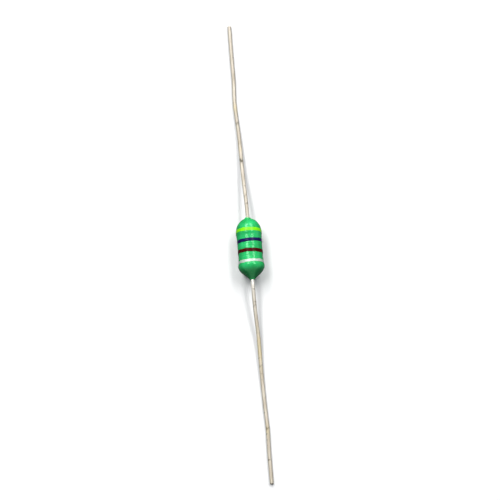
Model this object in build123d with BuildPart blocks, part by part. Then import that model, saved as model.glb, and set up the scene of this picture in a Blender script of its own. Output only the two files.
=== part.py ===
"""Axial inductor: a coil on a ferrite drum, tinned wire leads, a green coat and four painted bands.

Lengths are in millimetres. The inductor lies along Y on the plane Z = 0, with its yellow-band end at +Y.
"""

import os
from dataclasses import dataclass
from math import atan2, cos, floor, pi, sin, sqrt, tan

from build123d import *

os.makedirs("parts", exist_ok=True)

# Drum core: a rod between two flanges, a blind socket in each end, a wire notch in each rim
core_length = 5.15
core_middle_y = -0.175
flange_diameter = 2.9
flange_thickness = 0.55
rod_diameter = 1.36
rim_chamfer = 0.06
socket_depth = 0.9

# Winding: nested layers of enamelled wire, as many turns as the drum holds
wire_diameter = 0.28
turn_gap = 0.03
layer_count = 3
turn_valley_depth = 0.08
wire_clearance = 0.02

# Wire tails: through the rim notch, across the flange's face and round the lead's root
tail_bend_radius = 0.2
tail_sides = 6
wrap_turns = 1.0
solder_wall = 0.05
solder_taper = 0.16

# Leads: tinned wire glued into the sockets
lead_diameter = 0.5
overall_length = 62.4
lead_end_gap = 0.06
glue_gap = 0.05
straight_exit = 0.9
flat_end_length = 5.3

# Coat of epoxy: thicker over the flanges than over the turns, domed at the yellow end, coned at the other
upper_flange_coat = 0.277
lower_flange_coat = 0.305
turns_coat = 0.21
waist_shares = (0, 0.25, 0.75, 1)
upper_bulge_outset = 0.02
lower_bulge_outset = 0.2
upper_taper = 0.075
upper_taper_length = 0.62
dome_radius = 1.82
cone_start = 0.29
cone_length = 0.98
shoulder_fillet = 0.4
widest_fillet_share = 0.95
upper_collar_wall = 0.09
upper_collar_length = 0.15
lower_collar_wall = 0.11
lower_collar_length = 0.28
collar_chamfer = 0.04

# Painted bands, counted from the yellow one
paint_thickness = 0.04
first_band_inset = 0.18
band_pitch = 1.405
band_widths = {"yellow_band": 0.50, "violet_band": 0.42, "red_band": 0.48, "silver_band": 0.38}

# Each lead's route between its straight exit and its flat end. A point is the share of that stretch gone
# by, the sideways offset, and the share of the drop to the floor that is still to come.
yellow_end_route = [(0.27, -0.17, 0.44), (0.52, -0.26, 0.09), (0.74, -0.48, 0.0), (0.91, -0.37, 0.0)]
silver_end_route = [
    (0.14, 0.04, 0.72), (0.31, 0.2, 0.36), (0.53, 0.23, 0.08), (0.76, 0.34, 0.0), (0.92, 0.46, 0.0),
]
yellow_end_tip_x = -0.39
silver_end_tip_x = 0.42

# Places of the core and its winding
flange_radius = flange_diameter / 2
rod_radius = rod_diameter / 2
wire_radius = wire_diameter / 2
upper_face_y = core_middle_y + core_length / 2
lower_face_y = core_middle_y - core_length / 2
upper_inner_y = upper_face_y - flange_thickness
lower_inner_y = lower_face_y + flange_thickness
wire_slot = wire_diameter + 2 * wire_clearance
turn_pitch = wire_diameter + turn_gap
coil_room = upper_inner_y - lower_inner_y - wire_slot - wire_clearance
turn_count = floor(coil_room / turn_pitch)
coil_upper_y = upper_inner_y - wire_slot
coil_lower_y = coil_upper_y - turn_count * turn_pitch
layer_rise = sqrt(wire_diameter**2 - (turn_pitch / 2) ** 2)
top_layer_radius = rod_radius + wire_radius + (layer_count - 1) * layer_rise
coil_radius = top_layer_radius + wire_radius

# Places of the leads, the wraps and the solder, counted outwards from a flange's face
lead_radius = lead_diameter / 2
socket_radius = lead_radius + glue_gap
wrap_radius = lead_radius + wire_clearance + wire_radius
wrap_room_radius = wrap_radius + wire_radius + wire_clearance
wrap_pitch = wire_diameter + wire_clearance
wrap_slope = wrap_pitch / (2 * pi * wrap_radius)
tail_side = sqrt(top_layer_radius**2 - wrap_radius**2)
tail_stand_off = wire_radius + wire_clearance
wrap_start = tail_stand_off + tail_side * wrap_slope
wrap_end = wrap_start + wrap_turns * wrap_pitch
solder_start = wrap_start + tail_stand_off
solder_end = wrap_end + tail_stand_off
solder_tip = solder_end + solder_taper

# Places of the coat
upper_bulge_radius = flange_radius + upper_flange_coat
lower_bulge_radius = flange_radius + lower_flange_coat
waist_radius = coil_radius + turns_coat
upper_bulge_y = upper_inner_y + upper_bulge_outset
lower_bulge_y = lower_inner_y - lower_bulge_outset
waist_y = (upper_bulge_y + lower_bulge_y) / 2
upper_collar_radius = lead_radius + upper_collar_wall
lower_collar_radius = lead_radius + lower_collar_wall
taper_turn = atan2(upper_taper, upper_taper_length)
dome_foot_radius = upper_bulge_radius - upper_taper
first_band_y = upper_face_y - first_band_inset
first_band_edge = first_band_y - band_widths["yellow_band"] / 2 - upper_bulge_y
first_band_radius = upper_bulge_radius - upper_taper * first_band_edge / upper_taper_length + paint_thickness
axis_height = max(upper_bulge_radius, lower_bulge_radius, first_band_radius)
dome_foot_y = upper_bulge_y + upper_taper_length
dome_centre_x = dome_foot_radius - dome_radius * cos(taper_turn)
dome_centre_y = dome_foot_y - dome_radius * sin(taper_turn)
dome_end_y = dome_centre_y + sqrt(dome_radius**2 - (upper_collar_radius - dome_centre_x) ** 2)
upper_collar_y = dome_end_y + upper_collar_length
shoulder_y = lower_face_y - cone_start
cone_end_y = shoulder_y - cone_length
lower_collar_y = cone_end_y - lower_collar_length
cone_turn = atan2(lower_bulge_radius - lower_collar_radius, cone_length)
shoulder_room = widest_fillet_share * (lower_bulge_y - shoulder_y) / tan(cone_turn / 2)

same_radius = 1e-6
beyond_coat = 4 * flange_radius
body_axis = Axis((0, 0, axis_height), (0, 1, 0))
section_plane = Plane(origin=(0, 0, axis_height), x_dir=(1, 0, 0), z_dir=(0, 0, 1))
from_axis = (Align.MIN, Align.MIN)


@dataclass
class End:
    """One end of the inductor: the way it points along Y, and what differs from the other end."""

    name: str
    way: int
    face_y: float
    collar_y: float
    route: list
    tip_x: float

    def point(self, side, outwards, height=0.0):
        """A point at a side offset, a distance out from the flange's face and a height over the axis."""
        return Vector(side, self.face_y + self.way * outwards, axis_height + height)

    def section(self):
        """Half-section plane: local X is the radius, and local Y runs outwards from the flange's face."""
        return Plane(origin=self.point(0, 0), x_dir=(1, 0, 0), z_dir=(0, 0, self.way))

    def cross_section(self, height=0.0):
        """Plane of the flange's face at a height over the axis, looking outwards."""
        return Plane(origin=self.point(0, 0, height), x_dir=(1, 0, 0), z_dir=(0, self.way, 0))

    def collar_reach(self):
        """How far the coat's collar reaches out from the flange's face."""
        return abs(self.collar_y - self.face_y)


ends = (
    End("yellow_end", 1, upper_face_y, upper_collar_y, yellow_end_route, yellow_end_tip_x),
    End("silver_end", -1, lower_face_y, lower_collar_y, silver_end_route, silver_end_tip_x),
)


def finish(piece, name):
    """Label a finished piece and write it under its name."""
    piece.part.label = name
    export_step(piece.part, f"parts/{name}.step")


def rim_edges(piece, radius):
    """The piece's circular edges of one radius."""
    circles = piece.edges().filter_by(GeomType.CIRCLE)
    return circles.filter_by(lambda edge: abs(edge.radius - radius) < same_radius)


def waist_curve(y):
    """The coat's radius between its bulges: least at the waist, rising steeply near both flanges."""
    upper = y > waist_y
    bulge_y = upper_bulge_y if upper else lower_bulge_y
    bulge_radius = upper_bulge_radius if upper else lower_bulge_radius
    share = (y - waist_y) / (bulge_y - waist_y)
    return waist_radius + (bulge_radius - waist_radius) * share**6


def coat_section(raised=0.0, band=None):
    """The coat's half-section, closed along the axis, with every radius raised by one thickness.

    A band, given by its middle and its width along Y, keeps that strip of the section alone.
    """
    shoulder = (lower_bulge_radius + raised, shoulder_y)
    lower_bulge = (lower_bulge_radius + raised, lower_bulge_y)
    upper_bulge = (upper_bulge_radius + raised, upper_bulge_y)
    dome_foot = (dome_foot_radius + raised, dome_foot_y)
    waist_places = [coil_lower_y + share * (coil_upper_y - coil_lower_y) for share in waist_shares]
    flange_bend, *waist, last_turn = [(waist_curve(y) + raised, y) for y in (lower_inner_y, *waist_places)]
    cone_x = lower_collar_radius + raised
    dome_x = upper_collar_radius + raised
    with BuildSketch(section_plane) as section:
        with BuildLine():
            Polyline((0, lower_collar_y), (cone_x - collar_chamfer, lower_collar_y),
                     (cone_x, lower_collar_y + collar_chamfer), (cone_x, cone_end_y), shoulder, lower_bulge)
            TangentArc(lower_bulge, flange_bend, tangent=(0, 1))
            Polyline(flange_bend, *waist, last_turn)
            TangentArc(upper_bulge, last_turn, tangent=(0, -1))
            Line(upper_bulge, dome_foot)
            RadiusArc(dome_foot, (dome_x, dome_end_y), -dome_radius)
            Polyline((dome_x, dome_end_y), (dome_x, upper_collar_y - collar_chamfer),
                     (dome_x - collar_chamfer, upper_collar_y), (0, upper_collar_y), (0, lower_collar_y))
        make_face()
        shoulder_corner = section.sketch_local.vertices().sort_by_distance(shoulder)[0]
        fillet(shoulder_corner, min(shoulder_fillet, shoulder_room))
        if band:
            with Locations((0, band[0])):
                Rectangle(beyond_coat, band[1], mode=Mode.INTERSECT)
    return section.sketch


def solder_section(end):
    """The solder's half-section: a sleeve over the wraps that tapers down onto the lead."""
    outer = wrap_room_radius + solder_wall
    with BuildSketch(end.section()) as section:
        with BuildLine():
            Polyline((outer, solder_start), (wrap_room_radius, solder_start), (wrap_room_radius, solder_end),
                     (lead_radius, solder_end), (lead_radius, solder_tip), (outer, solder_end), close=True)
        make_face()
    return section.sketch


# Drum core
with BuildPart() as drum_core:
    with BuildSketch(section_plane):
        with Locations((0, lower_face_y)):
            Rectangle(rod_radius, core_length, align=from_axis)
        with Locations((0, lower_face_y), (0, upper_inner_y)):
            Rectangle(flange_radius, flange_thickness, align=from_axis)
    revolve(axis=body_axis)
    chamfer(rim_edges(drum_core, flange_radius), rim_chamfer)
    for end in ends:
        with BuildSketch(end.cross_section()):
            Circle(socket_radius)
        extrude(amount=-socket_depth, mode=Mode.SUBTRACT)
        notch_floor = tail_side - wire_slot / 2
        notch_length = 2 * flange_radius - notch_floor
        with BuildSketch(end.cross_section(height=end.way * wrap_radius)):
            with Locations((-notch_floor - notch_length / 2, 0)):
                SlotOverall(notch_length, wire_slot)
        extrude(amount=-flange_thickness, mode=Mode.SUBTRACT)
finish(drum_core, "drum_core")

# Winding: a crest over each turn of the top layer
turn_crests = [
    (coil_radius - turn_valley_depth * (1 - index % 2), coil_lower_y + index * turn_pitch / 2)
    for index in range(2 * turn_count + 1)
]
with BuildPart() as winding:
    with BuildSketch(section_plane):
        with BuildLine():
            Polyline(*turn_crests, (rod_radius, coil_upper_y), (rod_radius, coil_lower_y), close=True)
        make_face()
    revolve(axis=body_axis)
finish(winding, "winding")

# Wire tails: the start leaves the bottom layer beside the flange, the finish leaves the top layer
bottom_side = rod_radius + wire_radius + wire_clearance
start_gap_y = -flange_thickness - wire_slot / 2
finish_gap_y = -abs(coil_lower_y - lower_face_y)
tail_starts = {
    "yellow_end": ("start_tail", [(-bottom_side, start_gap_y), (-tail_side, start_gap_y)]),
    "silver_end": ("finish_tail", [(-tail_side, finish_gap_y)]),
}
tails = {}
for end in ends:
    tail_name, tail_points = tail_starts[end.name]
    height = end.way * wrap_radius
    corners = tail_points + [(-tail_side, tail_stand_off), (0, wrap_start)]
    with BuildPart() as tail:
        with BuildLine() as tail_route:
            FilletPolyline(*[end.point(side, outwards, height) for side, outwards in corners],
                           radius=tail_bend_radius)
            Helix(wrap_pitch, wrap_end - wrap_start, wrap_radius, center=end.point(0, wrap_start),
                  direction=(0, end.way, 0))
        with BuildSketch(Plane(origin=tail_route.wire() @ 0, z_dir=tail_route.wire() % 0)):
            RegularPolygon(wire_radius, tail_sides)
        sweep(path=tail_route.wire())
    tails[end.name] = tail
    finish(tail, tail_name)

# Leads, their glue and their solder
leads = {}
solders = {}
for end in ends:
    exit_y = abs(end.collar_y) + straight_exit
    flat_y = overall_length / 2 - flat_end_length
    floor_z = lead_radius
    drop = axis_height - floor_z
    lead_points = [end.point(0, lead_end_gap - socket_depth), Vector(0, end.way * exit_y, axis_height)]
    for share, side, height_share in end.route:
        y = exit_y + share * (flat_y - exit_y)
        lead_points.append(Vector(side, end.way * y, floor_z + height_share * drop))
    lead_points.append(Vector(end.tip_x, end.way * flat_y, floor_z))
    lead_points.append(Vector(end.tip_x, end.way * overall_length / 2, floor_z))
    with BuildPart() as lead:
        with BuildLine() as lead_route:
            Polyline(*lead_points)
        with BuildSketch(Plane(origin=lead_points[0], z_dir=(0, end.way, 0))):
            Circle(lead_radius)
        sweep(path=lead_route.wire(), transition=Transition.RIGHT)
    leads[end.name] = lead
    finish(lead, f"{end.name}_lead")

    with BuildPart() as adhesive:
        with BuildSketch(end.section()):
            with Locations((0, -socket_depth)):
                Rectangle(socket_radius, socket_depth, align=from_axis)
            with Locations((0, lead_end_gap - socket_depth)):
                Rectangle(lead_radius, socket_depth, align=from_axis, mode=Mode.SUBTRACT)
        revolve(axis=body_axis)
    finish(adhesive, f"{end.name}_adhesive")

    with BuildPart() as solder:
        revolve(solder_section(end), axis=body_axis)
    solders[end.name] = solder
    finish(solder, f"{end.name}_solder")

# Coat: hollow for the core, the coil, the wraps and the solder, bored for the leads
coat_body = revolve(coat_section(), axis=body_axis)
with BuildPart() as coating:
    add(coat_body)
    with BuildSketch(section_plane):
        with Locations((0, lower_inner_y)):
            Rectangle(coil_radius, upper_inner_y - lower_inner_y, align=from_axis)
        with Locations((0, lower_face_y), (0, upper_inner_y)):
            Rectangle(flange_radius, flange_thickness, align=from_axis)
    revolve(axis=body_axis, mode=Mode.SUBTRACT)
    for end in ends:
        with BuildSketch(end.section()):
            Rectangle(lead_radius, end.collar_reach(), align=from_axis)
            Rectangle(wrap_room_radius, solder_end, align=from_axis)
        revolve(axis=body_axis, mode=Mode.SUBTRACT)
        add(solders[end.name].part, mode=Mode.SUBTRACT)
        with BuildSketch(end.cross_section(height=end.way * wrap_radius)) as tail_slot:
            SlotOverall(2 * (tail_side + wire_slot / 2), wire_slot)
            with Locations((flange_radius, 0)):
                Rectangle(2 * flange_radius, 2 * wire_slot, mode=Mode.SUBTRACT)
        extrude(amount=solder_start, mode=Mode.SUBTRACT)
        extrude(tail_slot.sketch, amount=-flange_thickness, mode=Mode.SUBTRACT)
finish(coating, "coating")

# Painted bands
for index, (band_name, band_width) in enumerate(band_widths.items()):
    band_y = first_band_y - index * band_pitch
    with BuildPart() as band:
        revolve(coat_section(paint_thickness, (band_y, band_width)), axis=body_axis)
        add(coat_body, mode=Mode.SUBTRACT)
    finish(band, band_name)
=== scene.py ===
"""An axial inductor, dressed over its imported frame: a green coat, four painted bands and two tinned leads.

Lengths are in metres. The inductor lies along Y on the floor Z = 0, with its yellow-band end at +Y, as in the frame.
The coat, the bands and the leads are surfaces worked out with numpy, and the pieces inside the coat keep their
solids from the frame.
"""

from __future__ import annotations

import logging
from collections.abc import Mapping, Sequence
from dataclasses import dataclass
from enum import Enum
from math import atan2, cos, pi, radians, sin, sqrt, tan

import bpy
import numpy as np
from mathutils import Matrix, Vector

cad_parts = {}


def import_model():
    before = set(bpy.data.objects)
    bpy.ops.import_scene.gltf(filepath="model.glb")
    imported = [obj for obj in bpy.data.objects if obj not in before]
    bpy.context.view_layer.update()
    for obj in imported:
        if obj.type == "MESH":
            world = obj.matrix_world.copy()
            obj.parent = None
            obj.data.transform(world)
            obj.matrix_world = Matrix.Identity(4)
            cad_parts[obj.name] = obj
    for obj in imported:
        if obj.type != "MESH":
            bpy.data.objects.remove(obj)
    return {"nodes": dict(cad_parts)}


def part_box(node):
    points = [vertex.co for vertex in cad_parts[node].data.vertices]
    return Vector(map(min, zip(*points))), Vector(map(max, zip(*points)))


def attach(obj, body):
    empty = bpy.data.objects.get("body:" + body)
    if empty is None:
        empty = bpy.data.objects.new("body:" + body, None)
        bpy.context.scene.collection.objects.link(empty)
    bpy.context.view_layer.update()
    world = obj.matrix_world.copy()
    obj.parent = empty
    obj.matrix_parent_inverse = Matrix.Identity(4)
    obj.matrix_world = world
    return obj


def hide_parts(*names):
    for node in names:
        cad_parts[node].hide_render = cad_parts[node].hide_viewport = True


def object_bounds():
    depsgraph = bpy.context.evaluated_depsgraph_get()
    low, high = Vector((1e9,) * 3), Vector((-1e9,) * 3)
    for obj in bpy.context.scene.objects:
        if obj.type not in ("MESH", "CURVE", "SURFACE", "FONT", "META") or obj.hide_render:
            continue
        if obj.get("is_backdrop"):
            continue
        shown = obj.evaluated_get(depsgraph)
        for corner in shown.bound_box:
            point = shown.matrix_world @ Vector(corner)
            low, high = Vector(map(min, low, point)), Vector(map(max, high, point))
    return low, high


LOG = logging.getLogger("inductor")
MM = 0.001
BODY = "root"
LEAD_RADIUS = 0.25 * MM

Colour = tuple[float, float, float]
Array = np.ndarray
Socket = bpy.types.NodeSocket

WHITE: Colour = (1.0, 1.0, 1.0)
BLACK: Colour = (0.0, 0.0, 0.0)


def srgb(*shown: int) -> Colour:
    """A colour as a screen shows it, turned into the linear light that a shader takes.

    Args:
        *shown: Red, green and blue, 0 to 255.

    Returns:
        The three linear values, 0 to 1.
    """
    share = np.array(shown) / 255.0
    linear = np.where(share <= 0.04045, share / 12.92, ((share + 0.055) / 1.055) ** 2.4)
    return tuple(linear.tolist())


class End(Enum):
    """The inductor's two ends, with the way that each points along Y."""

    YELLOW = 1
    SILVER = -1

    @property
    def piece(self) -> str:
        """The start of the names of this end's pieces."""
        return f"{self.name.lower()}_end"


class Effect(Enum):
    """The surface effects that more than one finish uses, each a shader node group."""

    CLOUDS = "cloudy tone"
    SPECKS = "scattered specks"
    STREAKS = "drawn streaks"


# ---- Shader graphs, and the effects that the finishes share ----


@dataclass(frozen=True)
class Graph:
    """A node tree that is being written."""

    tree: bpy.types.NodeTree

    @classmethod
    def of(cls, owner: bpy.types.Material | bpy.types.World) -> Graph:
        """The emptied graph of a material or a world.

        Args:
            owner: The material or the world.

        Returns:
            Its graph, without nodes.
        """
        owner.use_nodes = True
        owner.node_tree.nodes.clear()
        return cls(owner.node_tree)

    def add(self, kind: str, inputs: Mapping[str, object] | None = None, **settings: object) -> bpy.types.Node:
        """Add a node, and link or set its inputs.

        Args:
            kind: The node's type.
            inputs: Output sockets, numbers or colours for its inputs, by identifier or by name.
            **settings: The node's own settings.

        Returns:
            The node.
        """
        node = self.tree.nodes.new(kind)
        for name, value in settings.items():
            setattr(node, name, value)
        for key, value in (inputs or {}).items():
            found = next(socket for socket in node.inputs if key in (socket.identifier, socket.name))
            if isinstance(value, Socket):
                self.tree.links.new(value, found)
            else:
                found.default_value = (*value, 1.0) if found.type == "RGBA" else value
        return node

    def coordinates(self) -> Socket:
        """The piece's own coordinates, in metres."""
        return self.add("ShaderNodeTexCoord").outputs["Object"]

    def math(self, operation: str, first: object, second: object, clamp: bool = False) -> Socket:
        """One sum on two numbers or sockets, kept from 0 to 1 if clamp is set."""
        values = {"Value": first, "Value_001": second}
        return self.add("ShaderNodeMath", values, operation=operation, use_clamp=clamp).outputs[0]

    def spread(self, value: Socket, low: float, high: float) -> Socket:
        """Spread a mask of 0 to 1 over the range from low to high."""
        return self.add("ShaderNodeMapRange", {"Value": value, "To Min": low, "To Max": high}).outputs["Result"]

    def rise(self, value: Socket, start: object, end: object) -> Socket:
        """A mask that rises smoothly from 0 to 1 as the value goes from start to end."""
        values = {"Value": value, "From Min": start, "From Max": end}
        return self.add("ShaderNodeMapRange", values, interpolation_type="SMOOTHSTEP").outputs["Result"]

    def blend(self, mask: object, first: object, second: object) -> Socket:
        """Blend two colours by a mask: the first where it is 0, the second where it is 1."""
        node = self.add("ShaderNodeMix", {"Factor_Float": mask, "A_Color": first, "B_Color": second}, data_type="RGBA")
        return next(socket for socket in node.outputs if socket.identifier == "Result_Color")

    def effect(self, effect: Effect, where: Socket, **values: float) -> Socket:
        """Place a shared effect.

        Args:
            effect: Which effect.
            where: The coordinates that it follows.
            **values: Its other inputs by name, in lower case.

        Returns:
            The effect's mask, 0 to 1.
        """
        inputs = {"Coordinates": where} | {name.capitalize(): value for name, value in values.items()}
        return self.add("ShaderNodeGroup", inputs, node_tree=SHARED.group(effect)).outputs["Mask"]

    def bump(self, height: Socket, depth: float, strength: float) -> Socket:
        """A normal that follows a height of 0 to 1, with the depth of a height of 1 in metres."""
        return self.add("ShaderNodeBump", {"Height": height, "Distance": depth, "Strength": strength}).outputs["Normal"]

    def shown(self) -> Socket:
        """1 for the rays that show the background: those of the camera, and those of gloss and glass.

        Returns:
            The socket with the 1 or 0.
        """
        rays = self.add("ShaderNodeLightPath").outputs
        either = self.math("MAXIMUM", rays["Is Camera Ray"], rays["Is Glossy Ray"])
        return self.math("MAXIMUM", either, rays["Is Transmission Ray"])


class SharedEffects:
    """Builds each shared effect's node group once, and hands it out after that."""

    def group(self, effect: Effect) -> bpy.types.NodeTree:
        """The node group of an effect, built on the first call."""
        write = {Effect.CLOUDS: self._clouds, Effect.SPECKS: self._specks, Effect.STREAKS: self._streaks}[effect]
        return bpy.data.node_groups.get(effect.value) or write()

    @staticmethod
    def _start(effect: Effect, *names: str) -> tuple[Graph, bpy.types.NodeOutputs]:
        """Begin a group whose inputs are coordinates and some numbers, and whose output is one mask.

        Args:
            effect: Which effect, for its name.
            *names: The names of the numbers.

        Returns:
            The graph, and the sockets of what it is given.
        """
        tree = bpy.data.node_groups.new(effect.value, "ShaderNodeTree")
        tree.interface.new_socket(name="Coordinates", in_out="INPUT", socket_type="NodeSocketVector")
        for name in names:
            tree.interface.new_socket(name=name, in_out="INPUT", socket_type="NodeSocketFloat")
        tree.interface.new_socket(name="Mask", in_out="OUTPUT", socket_type="NodeSocketFloat")
        graph = Graph(tree)
        return graph, graph.add("NodeGroupInput").outputs

    def _clouds(self) -> bpy.types.NodeTree:
        """Soft blotches: noise, pushed apart round its middle by Contrast.

        Returns:
            The node group.
        """
        graph, given = self._start(Effect.CLOUDS, "Scale", "Detail", "Contrast")
        noise = graph.add("ShaderNodeTexNoise", {
            "Vector": given["Coordinates"], "Scale": given["Scale"], "Detail": given["Detail"]}).outputs["Fac"]
        wider = graph.math("MULTIPLY", graph.math("SUBTRACT", noise, 0.5), given["Contrast"])
        graph.add("NodeGroupOutput", {"Mask": graph.math("ADD", wider, 0.5, clamp=True)})
        return graph.tree

    def _specks(self) -> bpy.types.NodeTree:
        """Round soft-edged specks of one Size, in the Share of cells whose own random value is low enough.

        Returns:
            The node group.
        """
        graph, given = self._start(Effect.SPECKS, "Scale", "Size", "Share")
        cells = graph.add("ShaderNodeTexVoronoi", {"Vector": given["Coordinates"], "Scale": given["Scale"]}).outputs
        own_value = graph.add("ShaderNodeSeparateColor", {"Color": cells["Color"]}).outputs[0]
        chosen = graph.math("LESS_THAN", own_value, given["Share"])
        round_spot = graph.rise(cells["Distance"], given["Size"], 0.0)
        graph.add("NodeGroupOutput", {"Mask": graph.math("MULTIPLY", round_spot, chosen)})
        return graph.tree

    def _streaks(self) -> bpy.types.NodeTree:
        """Thin streaks along Y: noise squeezed along Y by Stretch, kept only above 1 less Share.

        Returns:
            The node group.
        """
        graph, given = self._start(Effect.STREAKS, "Scale", "Stretch", "Share")
        squeeze = graph.add("ShaderNodeCombineXYZ", {"X": 1.0, "Y": given["Stretch"], "Z": 1.0}).outputs["Vector"]
        drawn = graph.add("ShaderNodeVectorMath", {
            "Vector": given["Coordinates"], "Vector_001": squeeze}, operation="MULTIPLY").outputs["Vector"]
        noise = graph.add("ShaderNodeTexNoise", {"Vector": drawn, "Scale": given["Scale"], "Detail": 3.0})
        threshold = graph.math("SUBTRACT", 1.0, given["Share"])
        soft_edge = 0.12
        mask = graph.rise(noise.outputs["Fac"], threshold, graph.math("ADD", threshold, soft_edge))
        graph.add("NodeGroupOutput", {"Mask": mask})
        return graph.tree


SHARED = SharedEffects()


# ---- Finishes ----


@dataclass(frozen=True)
class Finish:
    """A finish: its name, and the name of a material slot, which nothing here reads."""

    name: str
    slot: str

    def material(self) -> bpy.types.Material:
        """The finish as a material, built on the first call.

        Returns:
            The material.
        """
        found = bpy.data.materials.get(self.name)
        if found is None:
            found = bpy.data.materials.new(self.name)
            graph = Graph.of(found)
            shader = graph.add("ShaderNodeBsdfPrincipled", self.inputs(graph))
            graph.add("ShaderNodeOutputMaterial", {"Surface": shader.outputs["BSDF"]})
        return found

    def inputs(self, graph: Graph) -> dict[str, object]:
        """Write the nodes of the finish, and give its shader's inputs by name."""
        raise NotImplementedError

    def dress(self, piece: bpy.types.Object) -> None:
        """Give a piece this finish alone."""
        piece.data.materials.clear()
        piece.data.materials.append(self.material())


@dataclass(frozen=True)
class EpoxyFinish(Finish):
    """Dipped epoxy: glossy, cloudy where it ran thicker, with dust caught in it and a few scuffs.

    Past two places along Y, its colour darkens to a painted shade on the silver end's cone, which faces away from
    the lamps.
    """

    colour: Colour
    deep_colour: Colour
    cone_shade_colour: Colour
    dust_colour: Colour
    gloss_colour: Colour
    roughness: float
    gloss: float
    # painted shade: where along Y the cone's darker green sets in, and how strongly
    cone_shade_reach: tuple[float, float] = (-2.7 * MM, -3.4 * MM)
    cone_shade_share: float = 0.9
    dust_share: float = 0.35
    dust_dullness: float = 0.30
    scuff_dullness: float = 0.12
    thick_dullness: float = 1.5

    def inputs(self, graph: Graph) -> dict[str, object]:
        """Write the epoxy's nodes.

        Args:
            graph: The material's graph.

        Returns:
            The shader's inputs by name.
        """
        where = graph.coordinates()
        runs = graph.effect(Effect.CLOUDS, where, scale=900.0, detail=3.0, contrast=2.4)
        peel = graph.effect(Effect.CLOUDS, where, scale=5200.0, detail=2.0, contrast=1.6)
        dust = graph.effect(Effect.SPECKS, where, scale=3400.0, size=0.26, share=0.10)
        scuffs = graph.effect(Effect.STREAKS, where, scale=3000.0, stretch=0.35, share=0.40)
        along = graph.add("ShaderNodeSeparateXYZ", {"Vector": where}).outputs["Y"]
        # painted shade on the silver end's cone, which faces away from the lamps
        cone_shade = graph.spread(graph.rise(along, *self.cone_shade_reach), 0.0, self.cone_shade_share)
        body = graph.blend(cone_shade, graph.blend(runs, self.colour, self.deep_colour), self.cone_shade_colour)
        worn = graph.math("MAXIMUM", graph.spread(scuffs, 0.0, self.scuff_dullness),
                          graph.spread(dust, 0.0, self.dust_dullness))
        dull = graph.spread(runs, self.roughness, self.thick_dullness * self.roughness)
        height = graph.math("ADD", graph.spread(peel, 0.0, 0.5), graph.spread(dust, 0.0, 0.5))
        return {
            "Base Color": graph.blend(graph.spread(dust, 0.0, self.dust_share), body, self.dust_colour),
            "Roughness": graph.math("ADD", worn, dull),
            "Normal": graph.bump(height, depth=0.010 * MM, strength=0.35),
            "Specular IOR Level": self.gloss,
            "Specular Tint": self.gloss_colour,
        }


@dataclass(frozen=True)
class PaintFinish(Finish):
    """A painted band: mottled, thinner along its edges, where the coat shows through."""

    colour: Colour
    mottle_colour: Colour
    under_colour: Colour
    roughness: float
    gloss: float = 0.25
    metallic: float = 0.0
    edge_share: float = 0.8
    fleck_dullness: float = 0.10

    def inputs(self, graph: Graph) -> dict[str, object]:
        """Write the paint's nodes.

        Args:
            graph: The material's graph.

        Returns:
            The shader's inputs by name.
        """
        where = graph.coordinates()
        mottle = graph.effect(Effect.CLOUDS, where, scale=2600.0, detail=4.0, contrast=2.2)
        flecks = graph.effect(Effect.CLOUDS, where, scale=9000.0, detail=2.0, contrast=1.8)
        dust = graph.effect(Effect.SPECKS, where, scale=3600.0, size=0.25, share=0.08)
        edge = graph.add("ShaderNodeAttribute", attribute_name=PaintedBand.EDGE).outputs["Fac"]
        patchy = graph.math("MULTIPLY", edge, graph.spread(mottle, 0.25, 1.0))
        thin = graph.math("MULTIPLY", patchy, self.edge_share, clamp=True)
        paint = graph.blend(mottle, self.colour, self.mottle_colour)
        height = graph.math("ADD", graph.spread(flecks, 0.0, 0.6), graph.spread(dust, 0.0, 0.4))
        return {
            "Base Color": graph.blend(thin, paint, self.under_colour),
            "Roughness": graph.math("ADD", graph.spread(flecks, 0.0, self.fleck_dullness), self.roughness),
            "Metallic": graph.spread(thin, self.metallic, 0.0) if self.metallic else 0.0,
            "Normal": graph.bump(height, depth=0.010 * MM, strength=0.5),
            "Specular IOR Level": self.gloss,
        }


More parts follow.
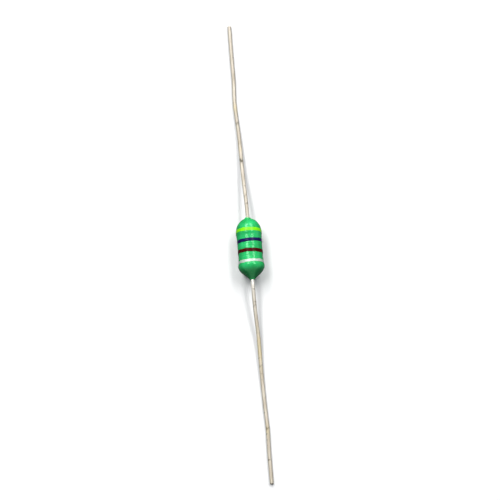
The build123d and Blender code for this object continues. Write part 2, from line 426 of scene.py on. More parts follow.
@dataclass(frozen=True)
class TinFinish(Finish):
    """Tin on wire or in a joint: pale metal, with drawn streaks, tarnish and specks of flux.

    A piece's own attribute adds dark marks, stains, and clean stretches whose colour is also lifted to near
    white as a painted highlight.
    """

    colour: Colour
    tarnish_colour: Colour
    stain_colour: Colour
    flux_colour: Colour
    roughness: float
    tarnish: float
    metallic: float
    gloss: float = 0.5
    # painted highlight: the near-white colour of the clean root, and how much of it is used
    root_highlight_colour: Colour = srgb(244, 244, 240)
    flux_share: float = 0.8
    root_highlight_share: float = 0.7
    clean_polish: float = 0.25
    streak_dullness: float = 0.10
    tone_dullness: float = 0.14

    def inputs(self, graph: Graph) -> dict[str, object]:
        """Write the tin's nodes.

        Args:
            graph: The material's graph.

        Returns:
            The shader's inputs by name.
        """
        where = graph.coordinates()
        tone = graph.effect(Effect.CLOUDS, where, scale=650.0, detail=4.0, contrast=2.6)
        fine = graph.effect(Effect.CLOUDS, where, scale=7000.0, detail=3.0, contrast=1.5)
        drawn = graph.effect(Effect.STREAKS, where, scale=6500.0, stretch=0.04, share=0.46)
        squeezed = graph.add("ShaderNodeMapping", {"Vector": where, "Scale": (1.0, 2.6, 1.0)}).outputs["Vector"]
        flux = graph.effect(Effect.SPECKS, squeezed, scale=900.0, size=0.42, share=0.22)
        wear_and_highlight = graph.add("ShaderNodeAttribute", attribute_name=Lead.WEAR_AND_HIGHLIGHT).outputs["Vector"]
        mark, stain, clean_and_highlight = graph.add("ShaderNodeSeparateXYZ", {"Vector": wear_and_highlight}).outputs

        dull = graph.math("MULTIPLY", graph.spread(tone, 0.0, self.tarnish), graph.spread(drawn, 0.35, 1.0))
        dull = graph.math("MULTIPLY", dull, graph.spread(clean_and_highlight, 1.0, 0.0))
        metal = graph.blend(dull, self.colour, self.tarnish_colour)
        # painted highlight: the clean root is blended towards near white
        metal = graph.blend(graph.spread(clean_and_highlight, 0.0, self.root_highlight_share), metal, self.root_highlight_colour)
        stain = graph.math("MULTIPLY", stain, graph.spread(tone, 0.4, 1.0))
        dirt = graph.math("MAXIMUM", mark, graph.spread(flux, 0.0, self.flux_share))
        rough = graph.math("ADD", graph.spread(drawn, 0.0, self.streak_dullness),
                           graph.spread(tone, self.roughness, self.roughness + self.tone_dullness))
        height = graph.math("ADD", graph.spread(drawn, 0.4, 0.0), graph.spread(fine, 0.0, 0.4))
        height = graph.math("ADD", height, graph.spread(flux, 0.0, 0.5))
        return {
            "Base Color": graph.blend(dirt, graph.blend(stain, metal, self.stain_colour), self.flux_colour),
            "Roughness": graph.math("SUBTRACT", rough, graph.spread(clean_and_highlight, 0.0, self.clean_polish)),
            "Metallic": graph.spread(dirt, self.metallic, 0.0),
            "Normal": graph.bump(height, depth=0.008 * MM, strength=0.5),
            "Specular IOR Level": self.gloss,
        }


@dataclass(frozen=True)
class InnerFinish(Finish):
    """A finish for the pieces inside the coat: two tones, with a grain at its own scale."""

    colour: Colour
    second_colour: Colour
    grain_scale: float
    roughness: float
    metallic: float = 0.0
    coat: float = 0.0
    tone_dullness: float = 0.15
    pit_share: float = 0.6

    def inputs(self, graph: Graph) -> dict[str, object]:
        """Write the finish's nodes.

        Args:
            graph: The material's graph.

        Returns:
            The shader's inputs by name.
        """
        where = graph.coordinates()
        grain = graph.effect(Effect.CLOUDS, where, scale=self.grain_scale, detail=5.0, contrast=2.0)
        pits = graph.effect(Effect.SPECKS, where, scale=2.0 * self.grain_scale, size=0.3, share=0.15)
        height = graph.math("SUBTRACT", grain, graph.spread(pits, 0.0, self.pit_share))
        return {
            "Base Color": graph.blend(grain, self.colour, self.second_colour),
            "Roughness": graph.spread(grain, self.roughness, self.roughness + self.tone_dullness),
            "Metallic": self.metallic,
            "Coat Weight": self.coat,
            "Normal": graph.bump(height, depth=0.008 * MM, strength=0.5),
        }


COAT_GREEN = srgb(26, 208, 114)
# EPOXY's third colour is painted shade for the silver end's cone.
EPOXY = EpoxyFinish(
    "green epoxy", "green_coat", COAT_GREEN, deep_colour=srgb(6, 176, 82), cone_shade_colour=srgb(2, 144, 66),
    dust_colour=srgb(150, 215, 165), gloss_colour=srgb(200, 255, 222), roughness=0.15, gloss=0.6)
YELLOW_PAINT = PaintFinish("yellow paint", "yellow_paint", srgb(150, 255, 0), srgb(118, 236, 0), COAT_GREEN, 0.26)
VIOLET_PAINT = PaintFinish(
    "violet paint", "violet_paint", srgb(22, 0, 98), srgb(6, 0, 60), srgb(0, 10, 26), 0.24, gloss=0.15)
RED_PAINT = PaintFinish("red paint", "red_paint", srgb(88, 0, 0), srgb(56, 0, 0), srgb(18, 8, 0), 0.26, gloss=0.08)
SILVER_PAINT = PaintFinish(
    "silver paint", "silver_paint", srgb(212, 222, 212), srgb(178, 202, 184), srgb(24, 96, 52), 0.34,
    gloss=0.7, metallic=0.1)
LEAD_TIN = TinFinish(
    "tinned wire", "tinned_wire", srgb(206, 198, 183), tarnish_colour=srgb(168, 154, 132),
    stain_colour=srgb(212, 194, 136), flux_colour=srgb(52, 46, 20), roughness=0.54, tarnish=0.8, metallic=0.3,
    gloss=0.2)
JOINT_SOLDER = TinFinish(
    "solder", "solder", srgb(206, 206, 204), tarnish_colour=srgb(132, 128, 120), stain_colour=srgb(132, 128, 120),
    flux_colour=srgb(92, 66, 40), roughness=0.30, tarnish=0.6, metallic=1.0)
FERRITE = InnerFinish("ferrite", "ferrite", srgb(52, 50, 50), srgb(34, 32, 33), 2200.0, 0.55)
COPPER = InnerFinish(
    "enamelled copper", "enamelled_copper", srgb(186, 88, 42), srgb(146, 58, 24), 1500.0, 0.22, metallic=0.9, coat=0.8)
GLUE = InnerFinish("amber glue", "adhesive", srgb(196, 142, 62), srgb(160, 104, 38), 1800.0, 0.25, coat=0.4)


# ---- Meshes ----


def in_scene(name: str, data: bpy.types.ID) -> bpy.types.Object:
    """Put a mesh, a lamp or a camera into the scene as an object of the given name."""
    bpy.context.scene.collection.objects.link(made := bpy.data.objects.new(name, data))
    return made


def grid_mesh(name: str, points: Array, closed: bool) -> bpy.types.Object:
    """Make a mesh from rings of points, each ring joined round on itself and to the next ring.

    The face between ring i and i + 1 and column j and j + 1 is (i, j), (i, j + 1), (i + 1, j + 1), (i + 1, j). A
    closed grid joins its last ring to its first, and an open one gets a fan over each end.

    Args:
        name: The piece's name.
        points: Places as an array of rings, columns and 3.
        closed: True if the rings run round into each other.

    Returns:
        The piece, linked to the scene.
    """
    rings, columns = points.shape[:2]
    ring, column = np.meshgrid(np.arange(rings if closed else rings - 1), np.arange(columns), indexing="ij")
    after_ring, after_column = (ring + 1) % rings, (column + 1) % columns
    corners = [ring * columns + column, ring * columns + after_column,
               after_ring * columns + after_column, after_ring * columns + column]
    faces = np.stack(corners, axis=-1).reshape(-1, 4).tolist()
    places = points.reshape(-1, 3)
    if not closed:
        middles = points[[0, -1]].mean(axis=1)
        places = np.vstack([places, middles])
        first, last = np.arange(columns), (rings - 1) * columns + np.arange(columns)
        faces += np.stack([np.roll(first, -1), first, np.full(columns, rings * columns)], axis=-1).tolist()
        faces += np.stack([last, np.roll(last, -1), np.full(columns, rings * columns + 1)], axis=-1).tolist()
    mesh = bpy.data.meshes.new(name)
    mesh.from_pydata(places.tolist(), [], faces)
    mesh.polygons.foreach_set("use_smooth", np.ones(len(faces), dtype=bool))
    mesh.update()
    return in_scene(name, mesh)


def hand_in(piece: bpy.types.Object, finish: Finish, node: str) -> None:
    """Dress a new piece, hang it on the body and let it stand for its CAD node.

    Args:
        piece: The new piece.
        finish: Its finish.
        node: The CAD node that it replaces.
    """
    finish.dress(piece)
    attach(piece, BODY)
    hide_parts(node)
    LOG.info("%s: %d faces, %s", piece.name, len(piece.data.polygons), finish.name)


@dataclass(frozen=True)
class Unevenness:
    """Smooth seeded unevenness over a turned surface: a sum of waves round it and along it.

    No wave has more than most_round crests round the surface, or is shorter along it than shortest, in metres.
    """

    seed: int
    waves: int
    most_round: int
    shortest: float

    def __call__(self, angle: Array, along: Array) -> Array:
        """The unevenness, mostly from -1 to 1.

        Each wave is cos(n angle + k along + p), with its own whole n, its own k up to 2 pi / shortest and its own p,
        and the sum is divided by the square root of half their number, then halved.

        Args:
            angle: Angles round the axis.
            along: Places along the axis, in metres.

        Returns:
            An array of the two arrays' common shape.
        """
        draw = np.random.default_rng(self.seed)
        total = np.zeros(np.broadcast_shapes(angle.shape, along.shape))
        for _ in range(self.waves):
            crests = int(draw.integers(0, self.most_round + 1))
            pitch = draw.uniform(-1.0, 1.0) * 2.0 * pi / self.shortest
            total += np.cos(crests * angle + pitch * along + draw.uniform(0.0, 2.0 * pi))
        return 0.5 * total / sqrt(self.waves / 2.0)


# ---- The coat and its bands ----


@dataclass
class Coat:
    """The green coat: its profile from end to end, the ridges of the turns under it, and its unevenness.

    Lengths are in metres and places count along Y. The ends and the largest radius come from the frame.
    """

    box: tuple[Vector, Vector]
    waist_radius: float = 1.621 * MM
    waist_y: float = -0.265 * MM
    upper_bulge: tuple[float, float] = (1.727 * MM, 1.87 * MM)
    dome_foot: tuple[float, float] = (1.652 * MM, 2.49 * MM)
    dome_radius: float = 1.82 * MM
    upper_collar_radius: float = 0.42 * MM
    lower_bulge_y: float = -2.40 * MM
    flange_bend_y: float = -2.20 * MM
    lower_end: tuple[tuple[float, float], ...] = (
        (-4.16 * MM, 0.41 * MM), (-3.98 * MM, 0.58 * MM), (-3.71 * MM, 0.86 * MM), (-3.42 * MM, 1.19 * MM),
        (-3.13 * MM, 1.48 * MM), (-2.86 * MM, 1.655 * MM), (-2.62 * MM, 1.735 * MM))
    lower_rim_radius: float = 0.37 * MM
    corner_round: float = 0.045 * MM
    collar_round: float = 0.11 * MM
    waist_power: float = 6.0
    coil_ends: tuple[float, float] = (-1.88 * MM, 1.53 * MM)
    turn_pitch: float = 0.31 * MM
    ridge_depth: float = 0.024 * MM
    ridge_power: float = 0.7
    ridge_fade: float = 0.0625 * MM
    ridge_share: tuple[float, float] = (0.75, 0.45)
    ridge_range: tuple[float, float] = (0.15, 1.25)
    lump_depth: float = 0.014 * MM
    collar_raggedness: float = 0.07 * MM
    collar_reach: float = 0.4 * MM
    collar_lip: float = 0.08 * MM
    cavity_clearance: float = 0.02 * MM
    cavity_taper: tuple[float, float] = (0.04 * MM, 0.16 * MM)
    columns: int = 160
    rows: int = 420
    rim_rows: int = 8
    run_points: int = 60
    dome_points: int = 40
    lumps: Unevenness = Unevenness(seed=11, waves=14, most_round=4, shortest=0.9 * MM)
    ridge_breaks: Unevenness = Unevenness(seed=23, waves=16, most_round=7, shortest=0.6 * MM)
    rag: Unevenness = Unevenness(seed=5, waves=5, most_round=4, shortest=20.0 * MM)

    def __post_init__(self) -> None:
        """Read the axis, the ends and the largest radius from the frame's boxes, then draw the profile."""
        low, high = self.box
        self.body_radius = (high.x - low.x) / 2.0
        self.axis_height = (high.z + low.z) / 2.0
        self.ends = (low.y, high.y)
        self.angle = np.linspace(-pi, pi, self.columns, endpoint=False)[None, :]
        self.profile_radius, self.profile_y = self._profile()

    def _profile(self) -> tuple[Array, Array]:
        """The coat's outside from the lead at one end to the lead at the other, as radii and places.

        The lower end is the smooth line through its points, the waist a power curve and the dome an arc, joined by
        straight runs. The whole line is then divided evenly along its length, and each point moves to a bell-shaped
        average of its neighbours, which rounds every corner by corner_round, and the upper collar's foot by
        collar_round.

        Returns:
            Radii and places along Y, each with one value a row.
        """
        bulge_radius, bulge_y = self.upper_bulge
        foot_radius, foot_y = self.dome_foot
        waist_y = np.linspace(self.flange_bend_y, bulge_y, self.run_points)
        upper = waist_y > self.waist_y
        reach = np.where(upper, bulge_y - self.waist_y, self.waist_y - self.lower_bulge_y)
        rise = np.where(upper, bulge_radius, self.body_radius) - self.waist_radius
        waist = self.waist_radius + rise * np.abs((waist_y - self.waist_y) / reach) ** self.waist_power

        slope = atan2(bulge_radius - foot_radius, foot_y - bulge_y)
        centre_radius = foot_radius - self.dome_radius * cos(slope)
        centre_y = foot_y - self.dome_radius * sin(slope)
        dome_end = np.arccos((self.upper_collar_radius - centre_radius) / self.dome_radius)
        dome = np.linspace(slope, dome_end, self.dome_points)
        rim = self.upper_collar_radius
        self.dome_end_y = centre_y + self.dome_radius * sin(dome_end)

        start, bulge = (self.ends[0], self.lower_rim_radius), (self.lower_bulge_y, self.body_radius)
        lower_y = np.linspace(start[0], bulge[0], self.run_points)
        lower = smooth_values(*np.array([start, *self.lower_end, bulge]).T, lower_y)
        radius = np.concatenate([
            [LEAD_RADIUS], lower, waist, [foot_radius], centre_radius + self.dome_radius * np.cos(dome),
            [rim, rim, LEAD_RADIUS]])
        place = np.concatenate([
            [self.ends[0]], lower_y, waist_y, [foot_y], centre_y + self.dome_radius * np.sin(dome),
            [self.dome_end_y, self.ends[1], self.ends[1]]])
        length = np.concatenate([[0.0], np.cumsum(np.hypot(np.diff(radius), np.diff(place)))])
        even = np.linspace(0.0, length[-1], self.rows)
        radius, place = np.interp(even, length, radius), np.interp(even, length, place)
        foot = np.exp(-((place - self.dome_end_y) / self.collar_round) ** 2)
        spread = self.corner_round + (self.collar_round - self.corner_round) * foot
        weights = np.exp(-0.5 * ((even[:, None] - even[None, :]) / spread[:, None]) ** 2)
        weights /= weights.sum(axis=1, keepdims=True)
        smooth_radius, smooth_place = weights @ radius, weights @ place
        smooth_radius[[0, -1]], smooth_place[[0, -1]] = radius[[0, -1]], place[[0, -1]]
        return smooth_radius, smooth_place

    def relief(self, angle: Array, y: Array, kept: float = 1.0) -> Array:
        """How far the surface stands off its profile.

        Ridges are half waves of one turn's pitch that climb by a pitch in a round, as the wire does. They fade out
        past the coil's ends, and break up where ridge_breaks is low. Lumps only take material away.

        Args:
            angle: Angles round the axis.
            y: Places along Y.
            kept: The share of the ridges that is kept.

        Returns:
            The offset along the radius.
        """
        low, high = self.coil_ends
        inside = 1.0 / (1.0 + np.exp(-(y - low) / self.ridge_fade))
        inside *= 1.0 / (1.0 + np.exp(-(high - y) / self.ridge_fade))
        turn = (y - low) / self.turn_pitch - angle / (2.0 * pi)
        crest = np.abs(np.sin(pi * turn)) ** self.ridge_power
        middle, swing = self.ridge_share
        broken = np.clip(middle + swing * self.ridge_breaks(angle, y), *self.ridge_range)
        lumps = self.lump_depth * (self.lumps(angle, y) - 1.0)
        return kept * self.ridge_depth * inside * crest * broken + lumps

    def place(self, radius: Array, angle: Array, y: Array) -> Array:
        """Places at a radius and an angle from straight up, round the body's axis."""
        return np.stack(np.broadcast_arrays(radius * np.sin(angle), y, self.axis_height + radius * np.cos(angle)), -1)

    def cavity(self) -> tuple[Array, Array]:
        """The coat's inside from the yellow end back to the silver end: bores, wrap rooms and the core's room.

        Each room's box comes from the pieces that it holds, widened by the clearance. A bore widens to its wrap
        room from cavity_taper's first length outside the solder to its second length inside.

        Returns:
            Radii and places along Y.
        """
        steps: list[tuple[float, float]] = []
        core_low, core_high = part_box("drum_core")
        core_radius = (core_high.x - core_low.x) / 2.0 + self.cavity_clearance
        for end in End:
            solder_low, solder_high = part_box(f"{end.piece}_solder")
            wrap_radius = (solder_high.x - solder_low.x) / 2.0 + self.cavity_clearance
            face_y = core_high.y if end is End.YELLOW else core_low.y
            solder_y = solder_high.y if end is End.YELLOW else solder_low.y
            wall_y = face_y + end.value * self.cavity_clearance
            outside, inside = (end.value * length for length in self.cavity_taper)
            room = [(LEAD_RADIUS, solder_y + outside), (wrap_radius, solder_y - inside),
                    (wrap_radius, wall_y), (core_radius, wall_y)]
            steps += room if end is End.YELLOW else room[::-1]
        radius, place = np.array(steps).T
        return radius, place

    def build(self) -> None:
        """Build the coat: its outside, and the cavity that closes it, as one turned grid.

        The outside's collars are ragged: a place within collar_reach of a rim is pushed along Y by rag, more the
        nearer it is to the rim, and always inwards. The relief dies out over collar_lip, next to the lead.
        """
        angle, radius, y = self.angle, self.profile_radius[:, None], self.profile_y[:, None]
        upper = np.clip(1.0 - (self.ends[1] - y) / self.collar_reach, 0.0, 1.0)
        lower = np.clip(1.0 - (y - self.ends[0]) / self.collar_reach, 0.0, 1.0)
        ragged = self.collar_raggedness * 0.5 * (1.0 + np.clip(self.rag(angle, y), -1.0, 1.0))
        outside_y = y - upper * ragged + lower * 0.5 * ragged
        off_lead = np.clip((radius - LEAD_RADIUS) / self.collar_lip, 0.0, 1.0)
        outside_radius = np.minimum(radius + off_lead * self.relief(angle, outside_y), self.body_radius)
        outside = self.place(outside_radius, angle, outside_y)
        cavity_radius, cavity_y = self.cavity()
        inside = self.place(cavity_radius[:, None], angle, cavity_y[:, None])
        hand_in(grid_mesh("coat_skin", np.concatenate([outside, inside]), closed=True), EPOXY, "coating")


@dataclass
class PaintedBand:
    """One painted band: a film over the coat, with wavy edges, a slight tilt and rounded, thinner borders.

    Its middle and its width come from the frame's box of it, and widening is how far the paint ran past each side.
    """

    node: str
    finish: Finish
    seed: int
    tilt: float
    widening: float = 0.0
    thickness: float = 0.022 * MM
    sink: float = 0.03 * MM
    waviness: float = 0.028 * MM
    edge_share: float = 0.30
    ridge_share: float = 0.7
    film_power: int = 6
    border_drop: float = 0.25
    across: int = 15

    EDGE = "edge"

    def build(self, coat: Coat) -> None:
        """Build the band on its coat.

        A row's share s runs from -1 to 1 across the band. The film's edges wander along Y by the waviness, and the
        whole band tilts by its angle. The film's height is thickness times the square root of 1 less s to the power
        film_power, less border_drop in its two outermost rows. Under it the coat keeps ridge_share of its ridges. A
        second, sunk surface closes the film below the coat's.

        Args:
            coat: The coat that carries it.
        """
        low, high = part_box(self.node)
        middle, half = (low.y + high.y) / 2.0, (high.y - low.y) / 2.0
        angle, share = coat.angle, np.linspace(-1.0, 1.0, self.across)[:, None]
        wander = Unevenness(seed=self.seed, waves=7, most_round=9, shortest=3.0 * half)
        edges = self.waviness * wander(angle, share * 2.0 * half)
        tilt = coat.body_radius * np.sin(angle) * tan(radians(self.tilt))
        y = middle + share * (half + self.widening) + edges + tilt
        border = np.abs(share) == 1.0
        film = self.thickness * (np.sqrt(1.0 - share**self.film_power) - self.border_drop * border)
        between_rims = slice(coat.rim_rows, -coat.rim_rows)
        plain = np.interp(y, coat.profile_y[between_rims], coat.profile_radius[between_rims])
        ground = np.minimum(plain + coat.relief(angle, y, self.ridge_share), coat.body_radius)
        top = coat.place(np.minimum(ground + film, coat.body_radius), angle, y)
        rows = np.concatenate([top, coat.place(ground - self.sink, angle, y)[::-1]])
        piece = grid_mesh(f"{self.node}_film", rows, closed=True)
        edge = np.clip((np.abs(share) - 1.0 + self.edge_share) / self.edge_share, 0.0, 1.0) ** 2
        edge_rows = np.concatenate([edge, edge[::-1]]) * np.ones_like(angle)
        layer = piece.data.attributes.new(self.EDGE, "FLOAT", "POINT")
        layer.data.foreach_set("value", edge_rows.ravel().astype(np.float32))
        hand_in(piece, self.finish, self.node)


# ---- The leads ----


def smooth_values(knots: Array, values: Array, wanted: Array) -> Array:
    """A smooth line through given points, level at both ends.

    Between two knots it is the cubic with the slopes that the neighbouring knots give: h00 v0 + h10 m0 + h01 v1 +
    h11 m1, with the Hermite weights of the share gone by.

    Args:
        knots: Where the values are given, rising.
        values: The values there.
        wanted: Where the line is wanted.

    Returns:
        The line's values.
    """
    slopes = np.gradient(values, knots)
    slopes[[0, -1]] = 0.0
    index = np.clip(np.searchsorted(knots, wanted) - 1, 0, len(knots) - 2)
    step = knots[index + 1] - knots[index]
    gone = np.clip((wanted - knots[index]) / step, 0.0, 1.0)
    line = (2 * gone**3 - 3 * gone**2 + 1) * values[index] + (gone**3 - 2 * gone**2 + gone) * step * slopes[index]
    return line + (3 * gone**2 - 2 * gone**3) * values[index + 1] + (gone**3 - gone**2) * step * slopes[index + 1]


@dataclass
class Lead:
    """A tinned lead: straight out of the body, gently kinked by handling, and flat on the floor at its tip.

    The route repeats the source's points: the share of the stretch gone by, the sideways offset in millimetres and
    the share of the drop that is left. The ends come from the frame.

    Attributes:
        marks: Dark marks: how far out of the collar, half how long and how strong, with the lengths in millimetres.
        stains: Yellowish stains, in the same way.
    """

    end: End
    collar_y: float
    axis_height: float
    route: Sequence[tuple[float, float, float]]
    tip_x: float
    marks: Sequence[tuple[float, float, float]]
    stains: Sequence[tuple[float, float, float]]
    # strength of the root's clean stretch, which also carries a painted highlight
    root_clean_and_highlight: float
    straight_exit: float = 0.9 * MM
    flat_end_length: float = 5.3 * MM
    radius: float = LEAD_RADIUS
    tip_round: float = 0.05 * MM
    cut_slant: float = 0.10
    cut_reach: float = 4.0 * LEAD_RADIUS
    dent_depth: float = 0.004 * MM
    # how far the root's clean stretch and its painted highlight reach
    clean_and_highlight_reach: float = 1.3 * MM
    mark_skew: float = 0.14 * MM
    skew_waves: int = 2
    skew_twist: float = 3.0
    mark_share: tuple[float, float] = (0.45, 0.55)
    columns: int = 40
    rows: int = 460
    tip_rows: int = 6

    # attribute of marks, stains, and the clean root with its painted highlight
    WEAR_AND_HIGHLIGHT = "wear_and_highlight"

    def _wear_and_highlight(self, out: Array, angle: Array) -> Array:
        """How marked, stained and clean the wire is; the clean part also carries a painted highlight.

        A mark or a stain is a bell curve along the wire, exp(-((out - place) / half length) squared), pushed to and
        fro by mark_skew in skew_waves round the wire, which turn by skew_twist a millimetre, so that it is no plain
        ring. A mark is strongest on top, where it shows. At its root the wire is clean, and whitened there as a
        painted highlight, by the lead's strength for both, fading as exp(-out / reach) over the root's reach.

        Args:
            out: Places along the wire, as the rows' distances from the body's middle.
            angle: Angles round it.

        Returns:
            Marks, stains, and cleanness with its painted highlight, each 0 to 1, for each row and column.
        """
        beyond = out[:, None] - abs(self.collar_y)
        skewed = (beyond + self.mark_skew * np.sin(self.skew_waves * angle + self.skew_twist * beyond / MM)) / MM
        bells = [sum(strength * np.exp(-((skewed - place) / half) ** 2) for place, half, strength in spots)
                 for spots in (self.marks, self.stains)]
        level, swing = self.mark_share
        mark = bells[0] * np.clip(level + swing * np.sin(angle), 0.0, 1.0)
        # clean tin at the root, also used as a painted highlight
        clean_and_highlight = self.root_clean_and_highlight * np.exp(-np.clip(beyond, 0.0, None) / self.clean_and_highlight_reach)
        worn = np.stack(np.broadcast_arrays(mark, bells[1], clean_and_highlight), axis=-1)
        return np.clip(worn, 0.0, 1.0)

    def build(self) -> None:
        """Build the lead as a ring carried along its route.

        The route is x(y) and z(y), smooth through the source's points. Each ring stands square to the route's own
        direction, and its radius is the wire's, less shallow dents and the rounding at both ends. The tip is sheared
        at a slant, over cut_reach.
        """
        low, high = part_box(f"{self.end.piece}_lead")
        inner, tip = sorted((abs(low.y), abs(high.y)))
        exit_y = abs(self.collar_y) + self.straight_exit
        flat_y = tip - self.flat_end_length
        shares, sides, heights = np.array(self.route).T
        knots = np.concatenate([[inner, exit_y], exit_y + shares * (flat_y - exit_y), [flat_y, tip]])
        side = np.concatenate([[0.0, 0.0], sides * MM, [self.tip_x, self.tip_x]])
        drop = self.axis_height - self.radius
        height = self.radius + np.concatenate([[1.0, 1.0], heights, [0.0, 0.0]]) * drop

        rim = self.tip_round * np.linspace(0.0, 1.0, self.tip_rows, endpoint=False) ** 2
        wire = np.linspace(inner + self.tip_round, tip - self.tip_round, self.rows)
        out = np.concatenate([inner + rim, wire, tip - rim[::-1]])
        x = smooth_values(knots, side, out)
        z = np.maximum(smooth_values(knots, height, out), self.radius)
        middle = np.stack([x, self.end.value * out, z], axis=-1)
        ahead = np.gradient(middle, out, axis=0)
        ahead /= np.linalg.norm(ahead, axis=1, keepdims=True)
        across = np.cross(ahead, (0.0, 0.0, 1.0))
        across /= np.linalg.norm(across, axis=1, keepdims=True)
        above = np.cross(across, ahead)

        angle = np.linspace(0.0, 2.0 * pi, self.columns, endpoint=False)[None, :]
        dents = Unevenness(seed=31 + self.end.value, waves=12, most_round=3, shortest=1.2 * MM)
        to_end = np.minimum(out - inner, tip - out)[:, None] / self.tip_round
        rounding = self.tip_round * (1.0 - np.sqrt(1.0 - (1.0 - np.clip(to_end, 0.0, 1.0)) ** 2))
        ring = self.radius - rounding + self.dent_depth * (dents(angle, out[:, None]) - 1.0)
        points = middle[:, None, :] + ring[..., None] * (
            np.cos(angle)[..., None] * across[:, None, :] + np.sin(angle)[..., None] * above[:, None, :])
        near_tip = np.clip((out - (tip - self.cut_reach)) / self.cut_reach, 0.0, 1.0)[:, None]
        slant = self.cut_slant * (self.radius + np.sin(angle) * ring)
        points[..., 1] -= self.end.value * near_tip * slant
        points[..., 2] = np.maximum(points[..., 2], 0.0)
        piece = grid_mesh(f"{self.end.piece}_wire", points, closed=False)
        wear_and_highlight = self._wear_and_highlight(out, angle)
        layer = piece.data.attributes.new(self.WEAR_AND_HIGHLIGHT, "FLOAT_VECTOR", "POINT")
        layer.data.foreach_set("vector", np.concatenate([wear_and_highlight.ravel(), wear_and_highlight[0, 0], wear_and_highlight[-1, 0]]).astype(np.float32))
        hand_in(piece, LEAD_TIN, f"{self.end.piece}_lead")


# ---- The pieces inside ----


@dataclass
class InnerPieces:
    """The core, its coil, the coil's tails, the glue and the solder, which keep their CAD solids."""

    nodes: Mapping[str, bpy.types.Object]

    def dress(self) -> None:
        """Give each CAD node that is inside the coat its finish."""
        finishes = {"drum_core": FERRITE, "winding": COPPER, "start_tail": COPPER, "finish_tail": COPPER}
        for end in End:
            finishes |= {f"{end.piece}_adhesive": GLUE, f"{end.piece}_solder": JOINT_SOLDER}
        for node, finish in finishes.items():
            finish.dress(self.nodes[node])
            LOG.info("%s keeps its solid, %s", node, finish.name)


# ---- The studio ----


@dataclass(frozen=True)
class Softbox:
    """A softbox over the inductor: its lean sideways and towards the yellow end, its size, strength and distance."""

    name: str
    sideways: float
    onwards: float
    width: float
    length: float
    radiance: float
    distance: float = 0.60


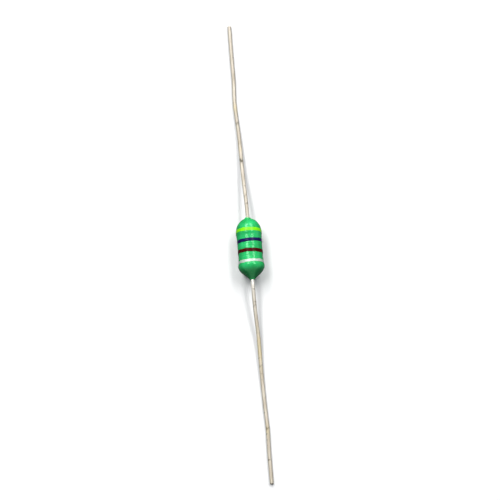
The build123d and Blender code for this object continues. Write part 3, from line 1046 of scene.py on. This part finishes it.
@dataclass
class Studio:
    """A white table under two softboxes and a broad panel, and a long lens that looks steeply down on the inductor."""

    target: Vector
    span: float
    elevation: float = 75.0
    body_lean: float = 4.4
    lens: float = 250.0
    sensor: float = 36.0
    fill: float = 460.0 / 500.0
    floor_size: float = 1.6
    floor_colour: Colour = (0.95, 0.95, 0.95)
    floor_bounce: Colour = (0.04, 0.05, 0.06)
    floor_in_gloss: Colour = (0.15, 0.17, 0.18)
    floor_lift: float = 0.06
    floor_fade: tuple[float, float] = (0.05, 0.24)
    sky_colour: Colour = (0.68, 0.86, 1.0)
    sky_light: float = 0.06
    softboxes: tuple[Softbox, ...] = (
        Softbox("left softbox", -24.0, 29.0, 0.19, 0.62, 8.0),
        Softbox("right softbox", 29.0, 29.0, 0.16, 0.62, 7.4),
        Softbox("overhead panel", 0.0, 37.0, 0.36, 0.84, 1.5, distance=1.00),
    )

    @staticmethod
    def facing(place: Vector, back: Vector, upright: Vector) -> Matrix:
        """The placement of a lamp or a camera that looks along -Z.

        Args:
            place: Where it stands.
            back: The direction from what it looks at to itself.
            upright: The direction that its own Y axis keeps nearest to.

        Returns:
            Its matrix.
        """
        side = upright.cross(back).normalized()
        rise = back.cross(side).normalized()
        return Matrix.Translation(place) @ Matrix((side, rise, back)).transposed().to_4x4()

    def build(self) -> None:
        """Build the floor, the world, the lamps and the camera."""
        self._floor()
        self._world()
        for softbox in self.softboxes:
            self._lamp(softbox)
        self._camera()
        bpy.context.scene.view_settings.view_transform = "Standard"

    def _floor(self) -> None:
        """The table: matt and pale, with the inductor's shadow, and turning to plain white away from it.

        The share of plain white rises from 0 to 1 between the two distances of floor_fade.
        """
        half = self.floor_size / 2.0
        mesh = bpy.data.meshes.new("floor")
        mesh.from_pydata([(-half, -half, 0.0), (half, -half, 0.0), (half, half, 0.0), (-half, half, 0.0)], [],
                         [(0, 1, 2, 3)])
        material = bpy.data.materials.new("white table")
        mesh.materials.append(material)
        in_scene("floor", mesh)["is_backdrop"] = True

        graph = Graph.of(material)
        rays = graph.add("ShaderNodeLightPath").outputs
        distance = graph.add("ShaderNodeVectorMath", {"Vector": graph.coordinates()}, operation="LENGTH")
        away = graph.rise(distance.outputs["Value"], *self.floor_fade)
        colour = graph.blend(away, self.floor_colour, BLACK)
        colour = graph.blend(rays["Is Diffuse Ray"], colour, self.floor_bounce)
        colour = graph.blend(rays["Is Glossy Ray"], colour, self.floor_in_gloss)
        matt = graph.add("ShaderNodeBsdfDiffuse", {"Color": colour})
        white = graph.math("MULTIPLY", graph.shown(), graph.spread(away, self.floor_lift, 1.0))
        lift = graph.add("ShaderNodeEmission", {"Color": WHITE, "Strength": white})
        both = graph.add("ShaderNodeAddShader", {"Shader": matt.outputs[0], "Shader_001": lift.outputs[0]})
        graph.add("ShaderNodeOutputMaterial", {"Surface": both.outputs[0]})

    def _world(self) -> None:
        """The surroundings: plain white where they show, and a weak, slightly blue light on everything."""
        world = bpy.data.worlds.new("surroundings")
        bpy.context.scene.world = world
        graph = Graph.of(world)
        light = graph.add("ShaderNodeBackground", {"Color": self.sky_colour, "Strength": self.sky_light})
        white = graph.add("ShaderNodeBackground", {"Color": WHITE, "Strength": 1.0})
        mix = graph.add("ShaderNodeMixShader", {
            "Fac": graph.shown(), "Shader": light.outputs[0], "Shader_001": white.outputs[0]})
        graph.add("ShaderNodeOutputWorld", {"Surface": mix.outputs[0]})

    def _lamp(self, softbox: Softbox) -> None:
        """Hang one softbox, facing the inductor with its length along Y.

        A flat lamp's radiance is its power over pi times its area, so its power is worked out from the radiance.

        Args:
            softbox: Where it hangs and how strong it is.
        """
        lamp = bpy.data.lights.new(softbox.name, "AREA")
        lamp.shape = "RECTANGLE"
        lamp.size, lamp.size_y = softbox.width, softbox.length
        lamp.energy = softbox.radiance * pi * softbox.width * softbox.length
        sideways, onwards = radians(softbox.sideways), radians(softbox.onwards)
        back = Vector((sin(sideways) * cos(onwards), sin(onwards), cos(sideways) * cos(onwards)))
        hung = in_scene(softbox.name, lamp)
        hung.matrix_world = self.facing(self.target + softbox.distance * back, back, Vector((0.0, 1.0, 0.0)))
        hung.visible_camera = False

    def _camera(self) -> None:
        """Set the camera: steeply above, turned so that the inductor leans to the left in the picture.

        The inductor's length, seen foreshortened by the sine of the elevation, takes the wanted share of the
        picture's height.
        """
        rise, lean = radians(self.elevation), radians(self.body_lean)
        back = Vector((-sin(lean) * cos(rise), -cos(lean) * cos(rise), sin(rise)))
        height = self.span * sin(rise) / self.fill
        camera = bpy.data.cameras.new("camera")
        camera.lens, camera.sensor_width = self.lens, self.sensor
        camera.clip_start, camera.clip_end = 0.01, 10.0
        holder = in_scene("camera", camera)
        distance = height * self.lens / self.sensor
        holder.matrix_world = self.facing(self.target + distance * back, back, Vector((0.0, 0.0, 1.0)))
        bpy.context.scene.camera = holder


def main() -> None:
    """Build every piece of the inductor and its studio, in order."""
    logging.basicConfig(level=logging.INFO, format="%(name)s: %(message)s")
    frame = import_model()
    cad_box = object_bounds()

    coat = Coat(box=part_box("coating"))
    coat.build()
    for band in (
        PaintedBand("yellow_band", YELLOW_PAINT, seed=3, tilt=-1.2),
        PaintedBand("violet_band", VIOLET_PAINT, seed=7, tilt=1.4, widening=0.03 * MM),
        PaintedBand("red_band", RED_PAINT, seed=13, tilt=-1.4, widening=0.02 * MM),
        PaintedBand("silver_band", SILVER_PAINT, seed=17, tilt=0.4, widening=0.01 * MM),
    ):
        band.build(coat)

    # The silver lead's root carries the stronger painted highlight.
    Lead(
        End.YELLOW, coat.ends[1], coat.axis_height, tip_x=-0.39 * MM, root_clean_and_highlight=0.1,
        route=((0.27, -0.17, 0.44), (0.52, -0.26, 0.09), (0.74, -0.48, 0.0), (0.91, -0.37, 0.0)),
        marks=((8.1, 0.17, 0.95), (13.3, 0.22, 0.55), (3.0, 0.12, 0.25)),
        stains=((15.6, 0.6, 0.5), (9.6, 0.5, 0.35))).build()
    Lead(
        End.SILVER, coat.ends[0], coat.axis_height, tip_x=0.42 * MM, root_clean_and_highlight=1.0,
        route=((0.14, 0.04, 0.72), (0.31, 0.20, 0.36), (0.53, 0.23, 0.08), (0.76, 0.34, 0.0), (0.92, 0.46, 0.0)),
        marks=((3.4, 0.15, 0.35), (11.2, 0.14, 0.45), (19.5, 0.16, 0.6)),
        stains=((9.2, 2.2, 0.7), (19.9, 0.9, 0.4))).build()
    InnerPieces(frame["nodes"]).dress()

    low, high = cad_box
    Studio(target=Vector((0.0, (low.y + high.y) / 2.0, coat.axis_height / 2.0)), span=high.y - low.y).build()


if __name__ == "__main__":
    main()
